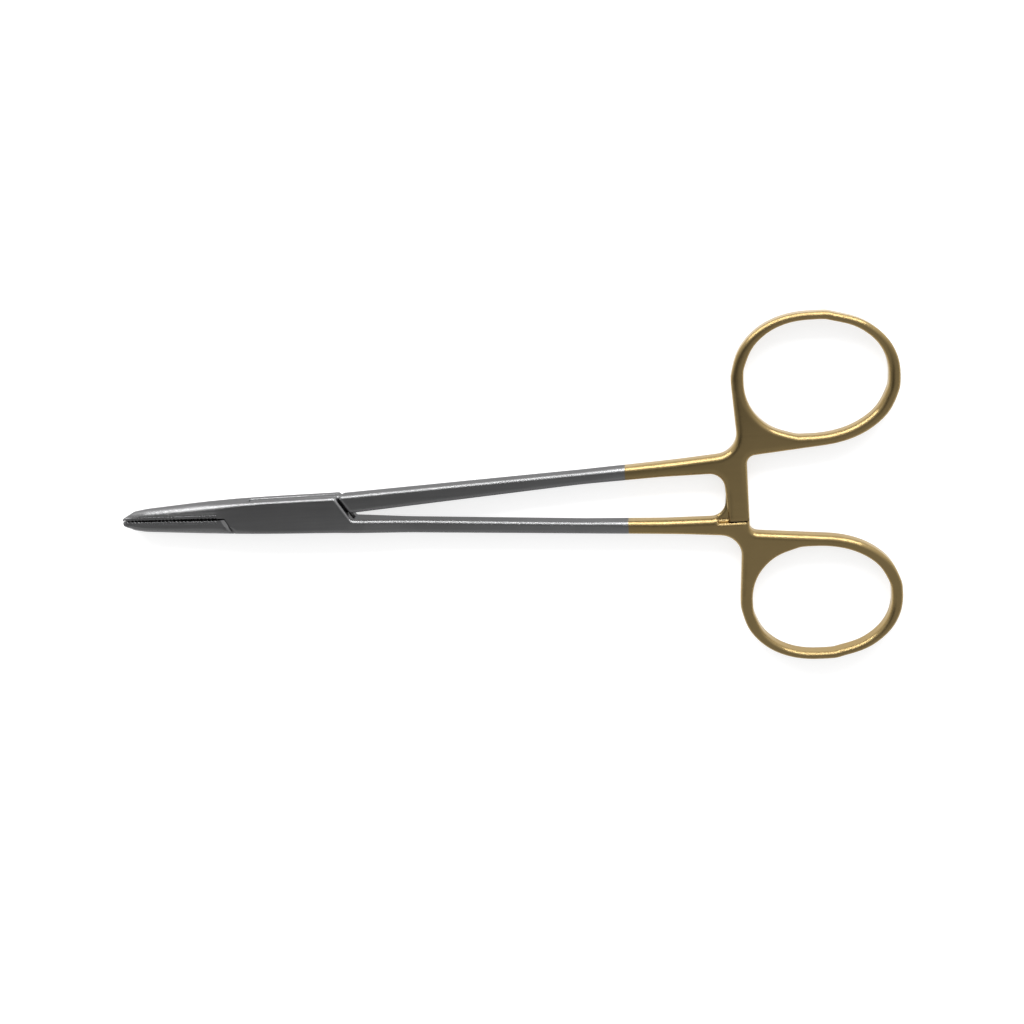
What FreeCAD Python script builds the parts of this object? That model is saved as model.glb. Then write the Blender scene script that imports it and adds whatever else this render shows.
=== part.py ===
"""Box-lock needle holder, 150 mm long, closed at rest.

The pivot axis is the Z axis. The jaws lie toward -X, the finger rings toward +X, and the box rests
on its flat back face at z = 0. Each half is drawn with its own handle on the +Y side; the half that
carries the box is then mirrored to the -Y side.
"""
import FreeCAD, Part
import Sketcher
import math
import os

from FreeCAD import Vector

# Driving dimensions in millimetres, angles in degrees
DIMENSIONS = [
    ("jaw_length", 34.5),            # pivot to the tip of the nose
    ("tip_upper", 0.5),              # heights over and under the closing plane
    ("tip_lower", 0.9),
    ("tip_rounding", 0.45),
    ("nose_length", 1.9),            # from the tip back to where the blunt nose begins
    ("nose_upper", 1.5),
    ("nose_lower", 2.02),
    ("nose_rounding", 1.3),
    ("fore_length", 4.5),            # from the tip back to the front end of the long taper
    ("fore_upper", 1.9),
    ("fore_lower", 2.44),
    ("root_length", 6.0),            # from the throat forward to the back end of the long taper
    ("root_upper", 2.8),
    ("root_lower", 2.98),
    ("throat_reach", 12.0),
    ("throat_upper", 2.97),
    ("throat_lower", 3.08),
    ("box_reach", 9.0),              # where the shanks leave the box
    ("box_upper", 3.42),
    ("box_lower", 3.62),
    ("fore_blend", 14.0),            # radii where straight stretches of the outline meet
    ("long_blend", 60.0),
    ("neck_blend", 40.0),
    ("waist_blend", 150.0),
    ("jaw_tilt", 0.76),              # closing plane against the axis of the handles
    ("handle_offset", 0.45),         # pivot above the axis of the handles
    ("bite_gap_tip", 0.06),          # between the two inserts
    ("bite_gap_back", 0.34),
    ("insert_depth", 0.7),
    ("insert_setback", 1.7),         # from the cheeks forward to the back end of the inserts
    ("tooth_pitch", 0.77),           # along the jaw, between grooves that cross it at 45 degrees
    ("tooth_depth", 0.24),
    ("crest_depth", 0.02),
    ("box_thickness", 5.0),
    ("nose_thickness", 3.0),
    ("shank_thickness", 3.4),
    ("thin_gap", 0.7),               # from the fork to where the lower shank starts to thin
    ("thin_length", 10.0),
    ("tongue_thin_reach", 6.0),      # the tongue half thins over this much on both sides of the pivot
    ("side_blend", 40.0),            # radii of the long section seen from the side
    ("nose_blend", 60.0),
    ("tongue_thickness", 1.6),
    ("root_overlap", 1.5),           # how far the tongue's roots run into jaw and shank
    ("slide_clearance", 0.05),
    ("slot_radius", 9.0),
    ("slot_clearance", 0.25),
    ("pin_diameter", 3.0),
    ("pin_clearance", 0.05),
    ("shoulder_gap", 0.35),          # between the cheek ends and the other half
    ("cheek_front", 13.0),           # jaw end of the cheeks, at the closing plane
    ("cheek_front_slant", 1.6),      # how much nearer the pivot that end is at the outer edge
    ("cheek_rear", 9.4),             # shank end of the cheeks, at the outer edge
    ("cheek_rear_slant", 2.9),       # how much farther from the pivot that end is at the fork
    ("bevel_width", 0.8),            # bevel on the shoulder of the lower jaw
    ("bevel_depth", 0.35),
    ("fork_rise", 0.65),             # half the distance between the shanks at the fork
    ("fork_drop", 0.3),              # fork under the axis of the handles
    ("fork_corner", 0.5),
    ("shoulder_corner", 0.5),
    ("waist_reach", 57.0),           # slimmest stretch of the shanks
    ("waist_outer", 5.93),
    ("waist_inner", 3.72),
    ("neck_setback", 23.5),          # from the ring's centre back to the neck
    ("neck_outer", 7.15),
    ("neck_inner_setback", 27.5),
    ("neck_inner", 4.2),
    ("ring_reach", 99.5),            # centre of the finger ring
    ("ring_height", 20.76),
    ("ring_left", 13.91),
    ("ring_right", 15.92),
    ("ring_half_height", 12.25),
    ("ring_squareness", 2.15),       # 2 is an ellipse, more is nearer a rectangle
    ("wall_left", 2.24),             # ring wall, seen from the front
    ("wall_right", 2.01),
    ("wall_far", 1.38),
    ("wall_near", 2.04),
    ("wall_angle", 184.0),           # where the ring runs into the shank side
    ("foot_angle", -82.0),           # where the ring runs into the ratchet side
    ("shoulder_outer", 8.0),
    ("shoulder_rounding", 4.0),
    ("arm_setback", 15.4),           # from the ring's centre back to the near side of the ratchet arm
    ("arm_lean", 0.7),               # how far that side leans back at its root
    ("arm_width", 3.75),
    ("arm_overlap", 4.9),            # how far the arm passes the axis
    ("arm_inner_rounding", 2.8),
    ("arm_outer_rounding", 1.6),
    ("arm_root", 4.3),               # where the arm leaves the shank
    ("arm_clearance", 0.16),         # between the two tooth rows
    ("step_gap", 0.3),
    ("step_margin", 2.1),            # from the arm back to the start of the step
    ("ratchet_pitch", 1.1),
    ("ratchet_depth", 0.45),
    ("ratchet_teeth", 3),
    ("tooth_start", 0.44),           # from the arm's end to its first notch
    ("tooth_flat", 0.06),            # left of the crest between two notches
    ("tip_edge", 0.32),              # rounding of the long edges
    ("jaw_edge", 1.05),
    ("shank_edge", 0.36),
    ("handle_edge", 0.9),
    ("arm_edge", 0.4),
]

doc = FreeCAD.newDocument("NeedleHolder")
sheet = doc.addObject("Spreadsheet::Sheet", "Dims")
for row, (alias, value) in enumerate(DIMENSIONS, start=1):
    sheet.set("A%d" % row, alias)
    sheet.set("B%d" % row, str(value))
    sheet.setAlias("B%d" % row, alias)
doc.recompute()


def dim(alias):
    """Value of one driving dimension, read from the sheet."""
    return float(sheet.get(alias))


MID = dim("box_thickness") / 2
REACH = dim("ring_reach") + 2 * dim("ring_right")      # past both ends of the instrument
FAR = dim("ring_height") + dim("ring_half_height")     # past the box and the shanks sideways
BELOW = "-Dims.box_thickness"                          # tools run past both flat faces
ABOVE = "2 * Dims.box_thickness"
INSET = 0.1                                            # hidden roots stay inside the rims by this
EDGE_SHARE = 0.38                                      # most of a wall that one rounding may take
LEG_SHARE = 0.45                                       # most of a straight leg that one corner may take
CURVE_STEP = 15.0                                      # degrees between the points of an oval
NEARBY = 0.5                                           # degrees to both sides when finding a heading
UPRIGHT = 0.5                                          # a face is a side wall if its normal rises less
FAR_WALL_RISE = 0.5                                    # where a ring's far wall and its side walls start,
SIDE_WALL_RISE = -0.25                                 # as shares of its half height over its centre

STATIONS = {
    "box": dim("box_reach"),
    "throat": -dim("throat_reach"),
    "root": -dim("throat_reach") - dim("root_length"),
    "fore": dim("fore_length") - dim("jaw_length"),
    "nose": dim("nose_length") - dim("jaw_length"),
    "tip": -dim("jaw_length"),
}
FORK = dim("cheek_rear") + dim("cheek_rear_slant")
INSERT_BACK = -dim("cheek_front") - dim("insert_setback")
NECK_INNER = dim("ring_reach") - dim("neck_inner_setback")
ARM_NEAR = dim("ring_reach") - dim("arm_setback")
ARM_FAR = ARM_NEAR + dim("arm_width")
STEP_NEAR = ARM_NEAR - dim("step_margin")
STEP_FAR = ARM_FAR + dim("arm_width")


def front_axis(x, own):
    """Height of the closing plane at x; own is 1 for the tongue half and -1 for the box half."""
    return -own * x * math.tan(math.radians(dim("jaw_tilt")))


def corner_chain(points):
    """Edges through corners (x, y, radius), tangent arcs at the corners, ending at the last point."""
    spots = [Vector(x, y, 0) for x, y, _ in points]
    edges = []
    start = spots[0]
    for index in range(1, len(points) - 1):
        back = spots[index - 1] - spots[index]
        ahead = spots[index + 1] - spots[index]
        longest = LEG_SHARE * min(back.Length, ahead.Length)
        back.normalize()
        ahead.normalize()
        if points[index][2]:
            opening = back.getAngle(ahead)
            reach = min(points[index][2] / math.tan(opening / 2), longest)
            radius = reach * math.tan(opening / 2)
            bisector = (back + ahead).normalize()
            nearest = spots[index] + bisector * (radius / math.sin(opening / 2) - radius)
            arc_start = spots[index] + back * reach
            arc_end = spots[index] + ahead * reach
            edges.append(Part.LineSegment(start, arc_start).toShape())
            edges.append(Part.Arc(arc_start, nearest, arc_end).toShape())
            start = arc_end
        else:
            edges.append(Part.LineSegment(start, spots[index]).toShape())
            start = spots[index]
    edges.append(Part.LineSegment(start, spots[-1]).toShape())
    return edges


def edge_height(station, own, side, x=None):
    """Outer edge of the front at a station, or elsewhere at the same distance from the closing plane.

    Side is 1 for the edge on the own handle's side and -1 for the other one.
    """
    x = STATIONS[station] if x is None else x
    level = "_upper" if own * side > 0 else "_lower"
    return front_axis(x, own) + side * dim(station + level)


def both_nose_sides(own):
    """Corners of the closed front, from the outer edge at the box round the nose to the other edge."""
    roundings = [
        ("throat", dim("long_blend")),
        ("root", dim("long_blend")),
        ("fore", dim("fore_blend")),
        ("nose", dim("nose_rounding")),
        ("tip", dim("tip_rounding")),
    ]
    far_side = [(STATIONS[name], edge_height(name, own, 1), radius) for name, radius in roundings]
    near_side = [(STATIONS[name], edge_height(name, own, -1), radius) for name, radius in roundings]
    return far_side + near_side[::-1]


def handle_height(y, own):
    """Height over the pivot of a point that lies y from the axis of the handles."""
    return y - own * dim("handle_offset")


def fork_height(own):
    """Height of the inner edge of a shank where it leaves the box."""
    return handle_height(dim("fork_rise") - own * dim("fork_drop"), own)


def inner_line(x, own):
    """Height of the inner edge of a shank at x, between the box and its waist."""
    waist_height = handle_height(dim("waist_inner"), own)
    share = (x - FORK) / (dim("waist_reach") - FORK)
    return fork_height(own) + share * (waist_height - fork_height(own))


def ring_oval(own):
    """Centre, left and right half widths and half height of a finger ring's outside."""
    centre = Vector(dim("ring_reach"), handle_height(dim("ring_height"), own), 0)
    return centre, dim("ring_left"), dim("ring_right"), dim("ring_half_height")


def opening_oval(own):
    """The same of the finger opening, from the ring's outside and its walls."""
    centre, left, right, tall = ring_oval(own)
    shift = (dim("wall_near") - dim("wall_far")) / 2
    thinner = (dim("wall_near") + dim("wall_far")) / 2
    centre = centre + Vector(0, shift, 0)
    return centre, left - dim("wall_left"), right - dim("wall_right"), tall - thinner


def oval_point(oval, angle):
    """Point of a squared-off oval at an angle in degrees."""
    centre, left, right, tall = oval
    turn = math.radians(angle)
    power = 2 / dim("ring_squareness")
    wide = right if math.cos(turn) > 0 else left
    x = wide * math.copysign(abs(math.cos(turn)) ** power, math.cos(turn))
    y = tall * math.copysign(abs(math.sin(turn)) ** power, math.sin(turn))
    return centre + Vector(x, y, 0)


def oval_heading(oval, angle):
    """Direction of travel along an oval at an angle."""
    return (oval_point(oval, angle + NEARBY) - oval_point(oval, angle - NEARBY)).normalize()


def oval_arc(oval, start, end):
    """Smooth edge along an oval between two angles."""
    steps = math.ceil((end - start) / CURVE_STEP)
    spots = [oval_point(oval, start + (end - start) * index / steps) for index in range(steps + 1)]
    curve = Part.BSplineCurve()
    curve.interpolate(
        Points=spots,
        InitialTangent=oval_heading(oval, start),
        FinalTangent=oval_heading(oval, end),
    )
    return curve.toShape()


def handle_wire(front_corners, own):
    """Closed outline: the given front, the shank, the ring's outside and the ratchet arm."""
    ring = ring_oval(own)
    wall = oval_point(ring, dim("wall_angle"))
    wall_way = oval_heading(ring, dim("wall_angle"))
    foot = oval_point(ring, dim("foot_angle"))
    foot_way = oval_heading(ring, dim("foot_angle"))
    shoulder_y = handle_height(dim("shoulder_outer"), own)
    shoulder_x = wall.x + (shoulder_y - wall.y) * wall_way.x / wall_way.y
    arm_end = handle_height(-dim("arm_overlap"), own)
    foot_y = foot.y + (ARM_FAR - foot.x) * foot_way.y / foot_way.x
    neck = dim("ring_reach") - dim("neck_setback")
    back_to_front = [
        (wall.x, wall.y, 0),
        (shoulder_x, shoulder_y, dim("shoulder_rounding")),
        (neck, handle_height(dim("neck_outer"), own), dim("neck_blend")),
        (dim("waist_reach"), handle_height(dim("waist_outer"), own), dim("waist_blend")),
    ]
    front_to_back = [
        (dim("waist_reach"), handle_height(dim("waist_inner"), own), dim("waist_blend")),
        (NECK_INNER, handle_height(dim("neck_inner"), own), dim("long_blend")),
        (ARM_NEAR - dim("arm_lean"), handle_height(dim("arm_root"), own), dim("arm_inner_rounding")),
        (ARM_NEAR, arm_end, 0),
        (ARM_FAR, arm_end, 0),
        (ARM_FAR, foot_y, dim("arm_outer_rounding")),
        (foot.x, foot.y, 0),
    ]
    edges = corner_chain(back_to_front + front_corners + front_to_back)
    edges.append(oval_arc(ring, dim("foot_angle"), 0))
    edges.append(oval_arc(ring, 0, 90))
    edges.append(oval_arc(ring, 90, dim("wall_angle")))
    return Part.Wire(edges)


def opening_wire(own):
    """Finger opening, in four quarters."""
    opening = opening_oval(own)
    return Part.Wire([oval_arc(opening, start, start + 90) for start in (-90, 0, 90, 180)])


def show_face(name, wires, own, upright=False):
    """Document object holding a flat face, mirrored to its own side, or stood up in the XZ plane."""
    face = Part.Face(wires, "Part::FaceMakerBullseye")
    if upright:
        face = face.rotated(Vector(0, 0, 0), Vector(1, 0, 0), 90)
    elif own < 0:
        face = face.mirror(Vector(0, 0, 0), Vector(0, 1, 0))
    holder = doc.addObject("Part::Feature", name)
    holder.Shape = face
    return holder


def prism(name, base, low, high):
    """Upright extrusion of a face between two heights given as expressions."""
    body = doc.addObject("Part::Extrusion", name)
    body.Base = base
    body.DirMode = "Custom"
    body.Dir = Vector(0, 0, 1)
    body.Solid = True
    body.setExpression("LengthFwd", high)
    body.setExpression("LengthRev", "-(%s)" % low)
    return body


def cut(name, base, tool):
    """Base less tool, with merged faces."""
    result = doc.addObject("Part::Cut", name)
    result.Base = base
    result.Tool = tool
    result.Refine = True
    return result


def common(name, base, tool):
    """Overlap of two objects."""
    result = doc.addObject("Part::Common", name)
    result.Base = base
    result.Tool = tool
    result.Refine = True
    return result


def fuse(name, shapes):
    """Union of several objects, with merged faces."""
    result = doc.addObject("Part::MultiFuse", name)
    result.Shapes = shapes
    result.Refine = True
    return result


def side_profile(name, thin_from, thin_to):
    """Long section seen from the side: nose taper, flat box, thinner shanks and rings."""
    full = dim("box_thickness") / 2
    thin = dim("shank_thickness") / 2
    nose = dim("nose_thickness") / 2
    corners = [
        (-dim("jaw_length") - INSET, nose, 0),
        (-dim("throat_reach"), full, dim("nose_blend")),
        (thin_from, full, dim("side_blend")),
        (thin_to, thin, dim("side_blend")),
        (REACH, thin, 0),
    ]
    upper = [(x, MID + half, radius) for x, half, radius in corners]
    lower = [(x, MID - half, radius) for x, half, radius in corners]
    edges = corner_chain(upper) + corner_chain(lower[::-1])
    edges.append(Part.LineSegment(Vector(*upper[-1][:2], 0), Vector(*lower[-1][:2], 0)).toShape())
    edges.append(Part.LineSegment(Vector(*lower[0][:2], 0), Vector(*upper[0][:2], 0)).toShape())
    face = show_face(name + "_face", Part.Wire(Part.__sortEdges__(edges)), 1, upright=True)
    slab = doc.addObject("Part::Extrusion", name)
    slab.Base = face
    slab.DirMode = "Custom"
    slab.Dir = Vector(0, 1, 0)
    slab.Solid = True
    slab.LengthFwd = REACH
    slab.LengthRev = REACH
    return slab


def rim_edges(shape, own):
    """Numbered edges where a side wall meets the front or back face, with the radii at their ends.

    All rims of one chain run the way of its first edge, and each pair of radii follows that way.
    Edges with even radii come first, so that a closed chain starts and ends in an even stretch.
    """
    opening = opening_wire(own)
    found = []
    for number, edge in enumerate(shape.Edges, start=1):
        halfway = (edge.FirstParameter + edge.LastParameter) / 2
        middle = edge.valueAt(halfway)
        walls = []
        for face in shape.ancestorsOfType(edge, Part.Face):
            outward = face.normalAt(*face.Surface.parameter(middle))
            if abs(outward.z) < UPRIGHT:
                walls.append(outward)
        ends = [edge.valueAt(edge.FirstParameter), edge.valueAt(edge.LastParameter)]
        if len(walls) == 1 and not stays_sharp(ends, own):
            off_opening = opening.distToShape(Part.Vertex(middle.x, own * middle.y, 0))[0]
            chain = (middle.z > MID, off_opening < INSET)
            way = edge.tangentAt(halfway).cross(walls[0]).z > 0
            found.append((number, [rim_radius(end, own) for end in ends], chain, way))
    found.sort(key=lambda rim: abs(rim[1][1] - rim[1][0]))
    rims = []
    ways = {}
    for number, radii, chain, way in found:
        if way != ways.setdefault(chain, way):
            radii.reverse()
        rims.append((number, radii[0], radii[1]))
    return rims


def stays_sharp(ends, own):
    """True for the end of a ratchet arm, and for the front's cut end inside the box."""
    arm_end = handle_height(-dim("arm_overlap"), own)
    at_arm_end = all(abs(own * end.y - arm_end) < INSET for end in ends)
    at_cut_end = all(abs(end.x + dim("box_reach")) < INSET for end in ends)
    return at_arm_end or at_cut_end


def between(x, first, first_radius, second, second_radius):
    """Radius that changes evenly from one place to another."""
    share = min(max((x - first) / (second - first), 0), 1)
    return first_radius + share * (second_radius - first_radius)


def rim_radius(spot, own):
    """Edge rounding at a spot of the rim: full on the nose and the handles, small in between."""
    jaw = min(dim("jaw_edge"), EDGE_SHARE * dim("nose_thickness"))
    handle = min(dim("handle_edge"), EDGE_SHARE * (dim("neck_outer") - dim("neck_inner")))
    rise = (own * spot.y - dim("ring_height")) / dim("ring_half_height")
    if spot.x < (STATIONS["tip"] + STATIONS["nose"]) / 2:
        return dim("tip_edge")
    if spot.x < STATIONS["box"]:
        return between(spot.x, -STATIONS["box"], dim("shank_edge"), STATIONS["root"], jaw)
    if rise > FAR_WALL_RISE:
        return min(handle, EDGE_SHARE * dim("wall_far"))
    if rise > SIDE_WALL_RISE or spot.x > dim("ring_reach") - INSET:
        return min(handle, EDGE_SHARE * min(dim("wall_left"), dim("wall_right"), dim("wall_near")))
    if own * spot.y < 0 and spot.x > NECK_INNER:
        return dim("arm_edge")
    return between(spot.x, dim("waist_reach"), dim("shank_edge"), NECK_INNER, handle)


def rounded(name, base, own):
    """Base with its rims rounded."""
    doc.recompute()
    result = doc.addObject("Part::Fillet", name)
    result.Base = base
    result.Edges = rim_edges(base.Shape, own)
    return result


def blank(name, front_corners, own, profile):
    """Forging before its joint is cut: outline with finger opening, side profile and rounded rims."""
    face = show_face(name + "_face", [handle_wire(front_corners, own), opening_wire(own)], own)
    plate = prism(name + "_plate", face, "0", "Dims.box_thickness")
    return rounded(name, common(name + "_sharp", plate, profile), own)


def polygon(name, corners, own=1):
    """Document object holding a flat polygon given as (x, y) corners."""
    spots = [Vector(x, y, 0) for x, y in corners]
    return show_face(name, Part.makePolygon(spots + spots[:1]), own)


def bite_height(x, side):
    """Biting face at x: side is 1 for the upper jaw and -1 for the lower one."""
    tip = STATIONS["tip"]
    share = (x - tip) / (INSERT_BACK - tip)
    gap = dim("bite_gap_tip") + share * (dim("bite_gap_back") - dim("bite_gap_tip"))
    return front_axis(x, 1) + side * gap / 2


def cheek_front_line(y, gap):
    """Jaw end of the cheeks at height y, moved toward the jaws by a gap."""
    slant = dim("cheek_front_slant") / dim("throat_lower")
    return -dim("cheek_front") - gap + slant * (front_axis(-dim("cheek_front"), 1) - y)


def lower_jaw_zone(name, side, gap):
    """Prism over the lower jaw, up to one of the biting faces and back to the cheeks less a gap."""
    ahead = -REACH
    top_x = cheek_front_line(bite_height(-dim("cheek_front"), side), gap)
    low_x = cheek_front_line(-FAR, gap)
    corners = [
        (ahead, bite_height(ahead, side)),
        (top_x, bite_height(top_x, side)),
        (low_x, -FAR),
        (ahead, -FAR),
    ]
    return prism(name, polygon(name + "_face", corners), BELOW, ABOVE)


def insert_zone(name, side):
    """Prism over the strip of one jaw that the insert fills."""
    ahead = -REACH
    back = INSERT_BACK
    depth = side * dim("insert_depth")
    corners = [
        (ahead, bite_height(ahead, side)),
        (back, bite_height(back, side)),
        (back, bite_height(back, side) + depth),
        (ahead, bite_height(ahead, side) + depth),
    ]
    return prism(name, polygon(name + "_face", corners), BELOW, ABOVE)


def tooth_comb(name, side, lean):
    """Slab with V ridges that cuts one of the two crossing sets of grooves; lean is 1 or -1."""
    back = Vector(INSERT_BACK, bite_height(INSERT_BACK, side), MID)
    front = Vector(STATIONS["tip"], bite_height(STATIONS["tip"], side), MID)
    length = (front - back).Length
    along = (front - back).normalize()
    out = Vector(side * along.y, -side * along.x, 0) * math.copysign(1, along.x)
    step = (along + Vector(0, 0, lean)).normalize()
    pitch = dim("tooth_pitch") / math.sqrt(2)
    begin = back - step * (dim("box_thickness") / math.sqrt(2))
    count = math.ceil((length + 2 * dim("box_thickness")) / dim("tooth_pitch"))
    spots = []
    for index in range(count):
        spots.append(begin + step * (pitch * index) - out * dim("crest_depth"))
        spots.append(begin + step * (pitch * (index + 0.5)) - out * dim("tooth_depth"))
    spots.append(begin + step * (pitch * (count - 0.5)) + out * dim("insert_depth"))
    spots.append(begin + out * dim("insert_depth"))
    holder = doc.addObject("Part::Feature", name + "_face")
    holder.Shape = Part.Face(Part.makePolygon(spots + spots[:1]))
    comb = doc.addObject("Part::Extrusion", name)
    comb.Base = holder
    comb.DirMode = "Custom"
    comb.Dir = (along - Vector(0, 0, lean)).normalize()
    comb.Solid = True
    comb.LengthFwd = length
    comb.LengthRev = dim("box_thickness")
    return comb


def crosshatched(name, base, side):
    """Insert with two crossing sets of grooves, which leave rows of small pyramids."""
    once = cut(name + "_grooved", base, tooth_comb(name + "_comb_a", side, 1))
    return cut(name, once, tooth_comb(name + "_comb_b", side, -1))


def shoulder_bevels():
    """Wedges that bevel the lower jaw's shoulder along the cheeks, front and back."""
    top_y = bite_height(-dim("cheek_front"), -1) + dim("bevel_width")
    top = Vector(cheek_front_line(top_y, dim("shoulder_gap")), top_y, 0)
    low = Vector(cheek_front_line(-FAR, dim("shoulder_gap")), -FAR, 0)
    along = (low - top).normalize()
    forward = Vector(along.y, -along.x, 0)
    wedges = []
    for name, surface, sign in (("front_bevel", dim("box_thickness"), 1), ("back_bevel", 0, -1)):
        spots = []
        # Corners of the wedge, in bevel widths ahead of the shoulder and bevel depths over the surface
        for wide, deep in ((2, 1), (-1, -2), (-1, 1)):
            spot = top + forward * (wide * dim("bevel_width"))
            spots.append(spot + Vector(0, 0, surface + sign * deep * dim("bevel_depth")))
        holder = doc.addObject("Part::Feature", name + "_face")
        holder.Shape = Part.Face(Part.makePolygon(spots + spots[:1]))
        wedge = doc.addObject("Part::Extrusion", name)
        wedge.Base = holder
        wedge.DirMode = "Custom"
        wedge.Dir = along
        wedge.Solid = True
        wedge.LengthFwd = dim("throat_lower") * 2
        wedges.append(wedge)
    return wedges


def disc(name, radius, low, high):
    """Upright cylinder on the pivot axis between two heights, all given as expressions."""
    body = doc.addObject("Part::Cylinder", name)
    body.setExpression("Radius", radius)
    body.setExpression("Height", "(%s) - (%s)" % (high, low))
    body.setExpression("Placement.Base.z", low)
    return body


TONGUE_LOW = "(Dims.box_thickness - Dims.tongue_thickness) / 2"
TONGUE_HIGH = "(Dims.box_thickness + Dims.tongue_thickness) / 2"
SLOT_LOW = TONGUE_LOW + " - Dims.slide_clearance"
SLOT_HIGH = TONGUE_HIGH + " + Dims.slide_clearance"


def tongue_parts():
    """Disc-shaped web of the tongue and its roots under the lower jaw and the upper shank."""
    corners = [
        (STATIONS["throat"], edge_height("throat", 1, -1) + INSET),
        (STATIONS["box"], edge_height("box", 1, -1) + INSET),
        (STATIONS["box"], edge_height("box", 1, 1) - INSET),
        (STATIONS["throat"], edge_height("throat", 1, 1) - INSET),
    ]
    band = prism("tongue_band", polygon("tongue_band_face", corners), TONGUE_LOW, TONGUE_HIGH)
    wheel = disc("tongue_wheel", "Dims.slot_radius - Dims.slot_clearance", TONGUE_LOW, TONGUE_HIGH)
    web = common("tongue_web", band, wheel)
    inner_x = dim("pin_diameter")
    jaw_x = -dim("cheek_front") - dim("root_overlap")
    jaw_root = polygon("jaw_root_face", [
        (jaw_x, bite_height(jaw_x, -1) - INSET),
        (-inner_x, bite_height(-inner_x, -1) - INSET),
        (-inner_x, edge_height("throat", 1, -1, -inner_x) + INSET),
        (jaw_x, edge_height("root", 1, -1, jaw_x) + INSET),
    ])
    shank_x = FORK + dim("root_overlap")
    outer_y = edge_height("box", 1, 1)
    shank_root = polygon("shank_root_face", [
        (inner_x, -dim("fork_drop")),
        (shank_x, inner_line(shank_x, 1) + INSET),
        (shank_x, outer_y),
        (inner_x, outer_y - INSET),
    ])
    return [
        web,
        prism("jaw_root", jaw_root, TONGUE_LOW, TONGUE_HIGH),
        prism("shank_root", shank_root, TONGUE_LOW, TONGUE_HIGH),
    ]


def slot_parts():
    """Space in the box for the tongue: a round chamber open toward the lower jaw and the upper shank."""
    jaw_x = -dim("cheek_front") - dim("root_overlap")
    jaw_mouth = polygon("jaw_mouth_face", [
        (jaw_x, bite_height(jaw_x, 1) - INSET),
        (0, bite_height(0, 1) - INSET),
        (0, -FAR),
        (jaw_x, -FAR),
    ])
    shank_x = FORK + dim("root_overlap")
    floor = -fork_height(-1)
    shank_mouth = polygon("shank_mouth_face", [
        (0, floor),
        (shank_x, floor),
        (shank_x, FAR),
        (0, FAR),
    ])
    return [
        disc("slot_chamber", "Dims.slot_radius", SLOT_LOW, SLOT_HIGH),
        prism("jaw_mouth", jaw_mouth, SLOT_LOW, SLOT_HIGH),
        prism("shank_mouth", shank_mouth, SLOT_LOW, SLOT_HIGH),
    ]


def ratchet_cutters(name, own):
    """Step that makes room for the other arm, and the notches of this arm's tooth row."""
    step_top = handle_height(dim("arm_overlap") + dim("step_gap"), own)
    arm_end = handle_height(-dim("arm_overlap"), own)
    corners = [(STEP_NEAR, step_top), (STEP_NEAR, -FAR), (STEP_FAR, -FAR), (STEP_FAR, step_top)]
    face = polygon(name + "_step_face", corners, own)
    if own > 0:
        step = prism(name + "_step", face, BELOW, "(Dims.box_thickness + Dims.arm_clearance) / 2")
    else:
        step = prism(name + "_step", face, "(Dims.box_thickness - Dims.arm_clearance) / 2", ABOVE)
    level = MID + own * dim("arm_clearance") / 2
    root = level + own * dim("ratchet_depth")
    outside = level - own * dim("ratchet_depth")
    notches = []
    for index in range(int(dim("ratchet_teeth"))):
        wall = arm_end + dim("tooth_start") + index * dim("ratchet_pitch")
        slope_end = wall + dim("ratchet_pitch") - dim("tooth_flat")
        spots = [
            Vector(STEP_NEAR, own * wall, outside),
            Vector(STEP_NEAR, own * wall, root),
            Vector(STEP_NEAR, own * slope_end, level),
            Vector(STEP_NEAR, own * slope_end, outside),
        ]
        holder = doc.addObject("Part::Feature", "%s_notch_face_%d" % (name, index + 1))
        holder.Shape = Part.Face(Part.makePolygon(spots + spots[:1]))
        notch = doc.addObject("Part::Extrusion", "%s_notch_%d" % (name, index + 1))
        notch.Base = holder
        notch.DirMode = "Custom"
        notch.Dir = Vector(1, 0, 0)
        notch.Solid = True
        notch.LengthFwd = STEP_FAR - STEP_NEAR
        notches.append(notch)
    return [step] + notches


def box_half():
    """Upper jaw, box, lower shank, lower ring and the rear ratchet arm."""
    own = -1
    cheek_x = dim("cheek_rear")
    front = [(STATIONS["box"], edge_height("box", own, 1), dim("long_blend"))]
    front += both_nose_sides(own)
    front.append((cheek_x, edge_height("box", own, -1, cheek_x), dim("shoulder_corner")))
    front.append((FORK, fork_height(own), dim("fork_corner")))
    thin_from = FORK + dim("thin_gap")
    profile = side_profile("box_profile", thin_from, thin_from + dim("thin_length"))
    forging = blank("box_blank", front, own, profile)
    shaped = cut("box_shaped", forging, lower_jaw_zone("lower_jaw_space", 1, 0.0))
    zone = insert_zone("box_insert_zone", 1)
    tools = slot_parts() + ratchet_cutters("box", own)
    tools.append(disc("cheek_bore", "Dims.pin_diameter / 2", BELOW, ABOVE))
    half = cut("box_half", shaped, fuse("box_tools", [zone] + tools))
    insert = crosshatched("box_jaw_insert", common("box_insert_blank", shaped, zone), 1)
    return half, insert


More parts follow.
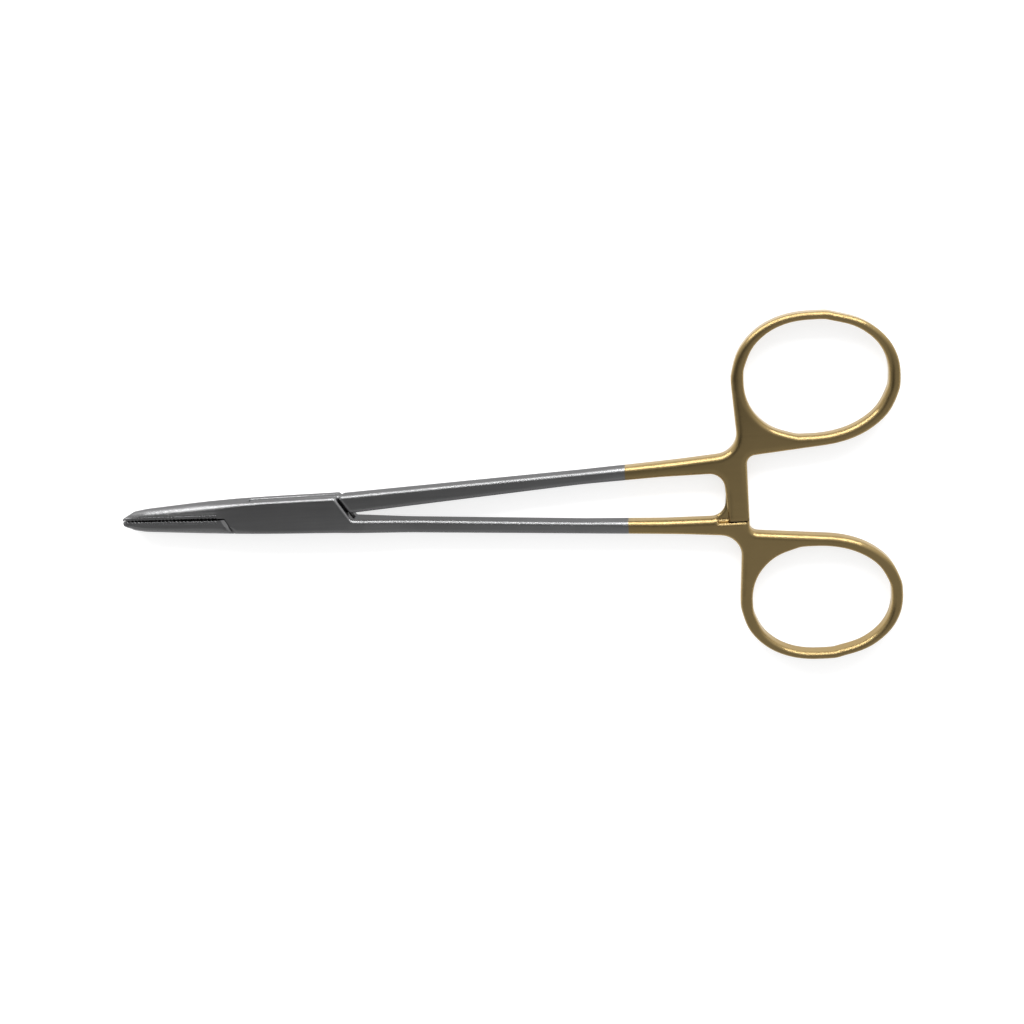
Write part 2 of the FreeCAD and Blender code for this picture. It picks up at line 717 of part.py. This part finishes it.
def tongue_half():
    """Lower jaw, tongue, upper shank, upper ring and the front ratchet arm."""
    own = 1
    gap = dim("shoulder_gap")
    top_y = edge_height("box", own, 1)
    top_x = dim("cheek_rear") + gap
    fork_y = -fork_height(-own)
    slant = dim("cheek_rear_slant") / (top_y - fork_y)
    low_y = fork_height(own)
    low_x = FORK + gap - slant * (low_y - fork_y)
    profile = side_profile("tongue_profile", -dim("tongue_thin_reach"), dim("tongue_thin_reach"))
    front = [(top_x, top_y, dim("shoulder_corner")), (low_x, low_y, dim("fork_corner"))]
    shank = blank("tongue_blank", front, own, profile)
    end_x = -dim("box_reach")
    nose = [(end_x, edge_height("throat", own, 1, end_x), 0)]
    nose += both_nose_sides(own)
    nose.append((end_x, edge_height("throat", own, -1, end_x), 0))
    outline = Part.Wire(corner_chain(nose + nose[:1]))
    plate = prism("nose_plate", show_face("nose_face", outline, own), "0", "Dims.box_thickness")
    nose_blank = rounded("nose_blank", common("nose_sharp", plate, profile), own)
    jaw = common("jaw_shaped", nose_blank, lower_jaw_zone("lower_jaw_zone", -1, gap))
    zone = insert_zone("tongue_insert_zone", -1)
    tools = ratchet_cutters("tongue", own) + shoulder_bevels()
    tools.append(disc("tongue_bore", "Dims.pin_diameter / 2 + Dims.pin_clearance", BELOW, ABOVE))
    solid = fuse("tongue_solid", [jaw, shank] + tongue_parts())
    half = cut("tongue_half", solid, fuse("tongue_tools", [zone] + tools))
    insert = crosshatched("tongue_jaw_insert", common("tongue_insert_blank", jaw, zone), -1)
    return half, insert


def pivot_pin():
    """Rivet through cheeks and tongue, ground flush with the box."""
    body = doc.addObject("PartDesign::Body", "pivot_pin")
    plane = [f for f in body.Origin.OriginFeatures if f.Role == "XY_Plane"][0]
    sketch = body.newObject("Sketcher::SketchObject", "pin_section")
    sketch.AttachmentSupport = (plane, [""])
    sketch.MapMode = "FlatFace"
    sketch.addGeometry(Part.Circle(Vector(0, 0, 0), Vector(0, 0, 1), dim("pin_diameter") / 2))
    sketch.addConstraint(Sketcher.Constraint("Coincident", 0, 3, -1, 1))
    sketch.addConstraint(Sketcher.Constraint("Diameter", 0, dim("pin_diameter")))
    sketch.setExpression("Constraints[1]", "Dims.pin_diameter")
    pad = body.newObject("PartDesign::Pad", "pin_length")
    pad.Profile = sketch
    pad.setExpression("Length", "Dims.box_thickness")
    return body


def check_and_write(nodes):
    """Stop on any failed object, then write one STEP file for each node."""
    doc.recompute()
    for item in doc.Objects:
        if "Invalid" in item.State or "Error" in item.State:
            raise RuntimeError("%s failed: %s" % (item.Name, item.State))
    os.makedirs("parts", exist_ok=True)
    for node in nodes:
        node.Label = node.Name
        if node.Shape.isNull() or not node.Shape.isValid():
            raise RuntimeError("%s has no valid shape" % node.Label)
        node.Shape.exportStep("parts/%s.step" % node.Label)
        print(node.Label, "solids", len(node.Shape.Solids), "volume", round(node.Shape.Volume, 2))


box_node, box_insert = box_half()
tongue_node, tongue_insert = tongue_half()
check_and_write([box_node, tongue_node, pivot_pin(), box_insert, tongue_insert])
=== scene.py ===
"""Box-lock needle holder on a white studio floor: satin steel jaws and shanks, gold-plated handles."""

import bpy
from mathutils import Matrix, Vector

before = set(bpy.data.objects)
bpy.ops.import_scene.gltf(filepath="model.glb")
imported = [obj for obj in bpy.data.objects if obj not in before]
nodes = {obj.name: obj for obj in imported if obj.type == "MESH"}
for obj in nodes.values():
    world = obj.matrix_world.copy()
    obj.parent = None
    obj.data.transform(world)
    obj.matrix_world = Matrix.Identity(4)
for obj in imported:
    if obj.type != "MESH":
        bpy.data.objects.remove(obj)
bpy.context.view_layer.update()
MM = 0.001

# Width over which polishing has rounded the edges
JAW_SOFTNESS = 1.4 * MM
BOX_SOFTNESS = 0.7 * MM
HANDLE_SOFTNESS = 0.85 * MM
INSERT_SOFTNESS = 0.12 * MM
BEVEL_SAMPLES = 6

# Stations along X between which that width changes
JAW_TO_BOX = (-18 * MM, -8 * MM)
BOX_TO_HANDLE = (6 * MM, 14 * MM)

# Strip along the middle, up to the box's rear end, where the seams of pin and inserts stay sharp
STRIP_TAPER = (-14 * MM, -6 * MM)
STRIP_HALF_WIDTHS = (1.2 * MM, 1.7 * MM)
STRIP_FADE = 0.4 * MM
STRIP_END = (8 * MM, 10 * MM)

# Metals: colour seen head-on, tint at glancing angles, shades of the mottling
STEEL_COLOUR = (0.26, 0.26, 0.263)
STEEL_GLANCING = (0.42, 0.42, 0.42)
STEEL_SHADES = (0.9, 1.08)
GOLD_COLOUR = (0.335, 0.243, 0.11)
GOLD_GLANCING = (0.95, 0.88, 0.75)
GOLD_SHADES = (0.88, 1.08)
CARBIDE_COLOUR = (0.215, 0.215, 0.219)
CARBIDE_SHADES = (0.85, 1.15)

# Grain of the polishing, drawn out along X, and mottling: features per metre, octaves of their noise
GRAIN_SCALE = (60, 1400, 1400)
MOTTLE_SCALE = 180
CARBIDE_MOTTLE_SCALE = 900
NOISE_DETAIL = 3.0
CARBIDE_NOISE_DETAIL = 4.0

# Roughness from the smoothest to the roughest spot, and height of the relief
STEEL_ROUGHNESS = (0.1, 0.2)
CARBIDE_ROUGHNESS = (0.2, 0.35)
STEEL_RELIEF = 0.002 * MM
CARBIDE_RELIEF = 0.003 * MM

# Where the plating of the handles begins, and the width of its edge
PLATING_X = 65.3 * MM
PLATING_EDGE = 0.12 * MM

# Light of the room: a dark patch overhead, even sides, and a rise toward the +Y horizon
PATCH_LIGHT = 0.14
SIDE_LIGHT = 0.48
FAR_LIGHT = 1.15
PATCH_CENTRE = (-0.3, -0.08)
PATCH_HALF_WIDTHS = (0.38, 0.17)
PATCH_EDGE = (0.86, 1.42)

# Floor in metres, and the long lamp beyond the +Y side in millimetres
WHITE = (1, 1, 1, 1)
FLOOR_SIZE = 3.0
FLOOR_COLOUR = (0.5, 0.5, 0.5)
FLOOR_GLOW = 0.7
KEY_PLACE = Vector((45, 300, 200))
KEY_AIM = Vector((45, 0, 0))
KEY_SIZE = (600, 120)
KEY_WATTS = 1.9

# Camera, fitted to the photograph
CAMERA_TARGET = Vector((43.28, -1.85, 2.5)) * MM
CAMERA_PLACE = Vector((82.30, 67.85, 247.74)) * MM
CAMERA_UP = Vector((0.0485, 0.9587, -0.2802))
CAMERA_LENS = 47.47
CAMERA_SENSOR = 36.0
CAMERA_CLIP_START = 0.01


class Graph:
    """Short helper to place and link the nodes of one material or world."""

    def __init__(self, tree):
        self.tree = tree
        tree.nodes.clear()

    def node(self, kind, settings=None, inputs=None):
        made = self.tree.nodes.new(kind)
        for name, value in (settings or {}).items():
            setattr(made, name, value)
        for name, value in (inputs or {}).items():
            if isinstance(value, bpy.types.NodeSocket):
                self.tree.links.new(value, made.inputs[name])
            else:
                made.inputs[name].default_value = value
        return made

    def math(self, operation, first, second=0.0):
        made = self.node("ShaderNodeMath", {"operation": operation}, {0: first, 1: second})
        return made.outputs[0]

    def blend(self, share, first, second):
        settings = {"data_type": "RGBA"}
        made = self.node("ShaderNodeMix", settings, {"Factor": share, 6: first, 7: second})
        return made.outputs[2]

    def mottled(self, share, colour, shades):
        """Colour that wanders between its darkest and its lightest shade."""
        dark, light = [(*(part * shade for part in colour), 1) for shade in shades]
        return self.blend(share, dark, light)

    def ramp(self, value, source, target, kind="LINEAR"):
        """Value carried from one pair of limits to another, and held there."""
        inputs = {"Value": value, 1: source[0], 2: source[1], 3: target[0], 4: target[1]}
        return self.node("ShaderNodeMapRange", {"interpolation_type": kind}, inputs).outputs[0]

    def noise(self, vector, scale, detail=NOISE_DETAIL):
        inputs = {"Vector": vector, "Scale": scale, "Detail": detail}
        return self.node("ShaderNodeTexNoise", inputs=inputs).outputs["Fac"]


def new_material(name):
    made = bpy.data.materials.new(name)
    made.use_nodes = True
    return made, Graph(made.node_tree)


def metal_shader(graph, colour, glancing, roughness, height, relief, softness):
    """Metal with its colour head-on, its tint at glancing angles, grain and polished-over edges."""
    edges = graph.node("ShaderNodeBevel", {"samples": BEVEL_SAMPLES}, {"Radius": softness}).outputs[0]
    inputs = {"Strength": 1.0, "Distance": relief, "Height": height, "Normal": edges}
    normal = graph.node("ShaderNodeBump", inputs=inputs).outputs[0]
    inputs = {"Base Color": colour, "Specular Tint": glancing, "Metallic": 1.0}
    inputs.update({"Roughness": roughness, "Normal": normal})
    shader = graph.node("ShaderNodeBsdfPrincipled", inputs=inputs)
    graph.node("ShaderNodeOutputMaterial", inputs={"Surface": shader.outputs[0]})


def edge_softness(graph, place):
    """Width over which polishing has rounded the edges: widest on the jaws, none at pin and inserts."""
    parts = graph.node("ShaderNodeSeparateXYZ", inputs={0: place})
    along = parts.outputs[0]
    aside = graph.math("ABSOLUTE", parts.outputs[1])
    strip = graph.ramp(along, STRIP_TAPER, STRIP_HALF_WIDTHS)
    beside_strip = graph.ramp(graph.math("SUBTRACT", aside, strip), (0, STRIP_FADE), (0, 1))
    behind_strip = graph.ramp(along, STRIP_END, (0, 1))
    width = graph.ramp(along, JAW_TO_BOX, (JAW_SOFTNESS, BOX_SOFTNESS))
    more = graph.ramp(along, BOX_TO_HANDLE, (0, HANDLE_SOFTNESS - BOX_SOFTNESS))
    width = graph.math("ADD", width, more)
    return graph.math("MULTIPLY", width, graph.math("MAXIMUM", beside_strip, behind_strip))


def instrument_material():
    """Satin steel toward the jaws, and gold plating on the handles beyond a sharp line."""
    made, graph = new_material("satin_steel_and_gold")
    place = graph.node("ShaderNodeTexCoord").outputs["Object"]
    along = graph.node("ShaderNodeSeparateXYZ", inputs={0: place}).outputs[0]
    plated = graph.ramp(along, (PLATING_X, PLATING_X + PLATING_EDGE), (0, 1))
    grain_place = graph.node("ShaderNodeMapping", inputs={"Vector": place, "Scale": GRAIN_SCALE})
    grain = graph.noise(grain_place.outputs[0], 1.0)
    mottle = graph.noise(place, MOTTLE_SCALE)
    steel = graph.mottled(mottle, STEEL_COLOUR, STEEL_SHADES)
    gold = graph.mottled(mottle, GOLD_COLOUR, GOLD_SHADES)
    colour = graph.blend(plated, steel, gold)
    glancing = graph.blend(plated, (*STEEL_GLANCING, 1), (*GOLD_GLANCING, 1))
    roughness = graph.ramp(grain, (0, 1), STEEL_ROUGHNESS)
    softness = edge_softness(graph, place)
    metal_shader(graph, colour, glancing, roughness, grain, STEEL_RELIEF, softness)
    return made


def carbide_material():
    """Dull ground hard metal of the jaw inserts."""
    made, graph = new_material("ground_hard_metal")
    place = graph.node("ShaderNodeTexCoord").outputs["Object"]
    mottle = graph.noise(place, CARBIDE_MOTTLE_SCALE, CARBIDE_NOISE_DETAIL)
    colour = graph.mottled(mottle, CARBIDE_COLOUR, CARBIDE_SHADES)
    roughness = graph.ramp(mottle, (0, 1), CARBIDE_ROUGHNESS)
    glancing = (*STEEL_GLANCING, 1)
    metal_shader(graph, colour, glancing, roughness, mottle, CARBIDE_RELIEF, INSERT_SOFTNESS)
    return made


def white_floor():
    """Large pale floor that looks white to the camera and keeps a soft shadow."""
    bpy.ops.mesh.primitive_plane_add(size=FLOOR_SIZE, location=(CAMERA_TARGET.x, 0, 0))
    floor = bpy.context.object
    floor.name = "floor"
    made, graph = new_material("white_paper")
    path = graph.node("ShaderNodeLightPath")
    seen = graph.math("MAXIMUM", path.outputs["Is Camera Ray"], path.outputs["Is Transmission Ray"])
    seen = graph.math("MAXIMUM", seen, path.outputs["Is Glossy Ray"])
    paper = graph.node("ShaderNodeBsdfDiffuse", inputs={"Color": (*FLOOR_COLOUR, 1)})
    strength = graph.math("MULTIPLY", seen, FLOOR_GLOW)
    glow = graph.node("ShaderNodeEmission", inputs={"Color": WHITE, "Strength": strength})
    both = graph.node("ShaderNodeAddShader", inputs={0: paper.outputs[0], 1: glow.outputs[0]})
    graph.node("ShaderNodeOutputMaterial", inputs={"Surface": both.outputs[0]})
    floor.data.materials.append(made)


def studio_world():
    """Room with a dark oval patch overhead that gets lighter toward the +Y side."""
    world = bpy.data.worlds.new("studio")
    world.use_nodes = True
    bpy.context.scene.world = world
    graph = Graph(world.node_tree)
    way = graph.node("ShaderNodeTexCoord").outputs["Generated"]
    shift = [-centre / half for centre, half in zip(PATCH_CENTRE, PATCH_HALF_WIDTHS)]
    stretch = [1 / half for half in PATCH_HALF_WIDTHS]
    inputs = {"Vector": way, "Location": (*shift, 0), "Scale": (*stretch, 0)}
    from_centre = graph.node("ShaderNodeMapping", inputs=inputs).outputs[0]
    reach = graph.node("ShaderNodeVectorMath", {"operation": "LENGTH"}, {0: from_centre})
    sides = graph.ramp(reach.outputs["Value"], PATCH_EDGE, (PATCH_LIGHT, SIDE_LIGHT), "SMOOTHSTEP")
    across = graph.node("ShaderNodeSeparateXYZ", inputs={0: way}).outputs[1]
    far = graph.ramp(across, (0, 1), (0, FAR_LIGHT))
    strength = graph.math("ADD", sides, far)
    room = graph.node("ShaderNodeBackground", inputs={"Color": WHITE, "Strength": strength})
    graph.node("ShaderNodeOutputWorld", inputs={"Surface": room.outputs[0]})


def key_lamp():
    """Long soft lamp beyond the +Y side, which draws the bright line along the edges."""
    light = bpy.data.lights.new("key", "AREA")
    light.shape = "RECTANGLE"
    light.size, light.size_y = (side * MM for side in KEY_SIZE)
    light.energy = KEY_WATTS
    holder = bpy.data.objects.new("key", light)
    bpy.context.collection.objects.link(holder)
    holder.location = KEY_PLACE * MM
    holder.rotation_euler = (KEY_PLACE - KEY_AIM).to_track_quat("Z", "Y").to_euler()


def set_camera():
    """Camera as in the photograph: tilted toward the upper ring, slightly rolled."""
    camera = bpy.data.cameras.new("camera")
    camera.lens = CAMERA_LENS
    camera.sensor_width = CAMERA_SENSOR
    camera.clip_start = CAMERA_CLIP_START
    holder = bpy.data.objects.new("camera", camera)
    bpy.context.collection.objects.link(holder)
    back = (CAMERA_PLACE - CAMERA_TARGET).normalized()
    right = CAMERA_UP.cross(back).normalized()
    up = back.cross(right)
    turn = Matrix((right, up, back)).transposed().to_4x4()
    holder.matrix_world = Matrix.Translation(CAMERA_PLACE) @ turn
    bpy.context.scene.camera = holder


instrument = instrument_material()
carbide = carbide_material()
for name, node in nodes.items():
    node.data.materials.clear()
    node.data.materials.append(carbide if name.endswith("insert") else instrument)
white_floor()
studio_world()
key_lamp()
set_camera()

bpy.context.scene.view_settings.view_transform = "Standard"
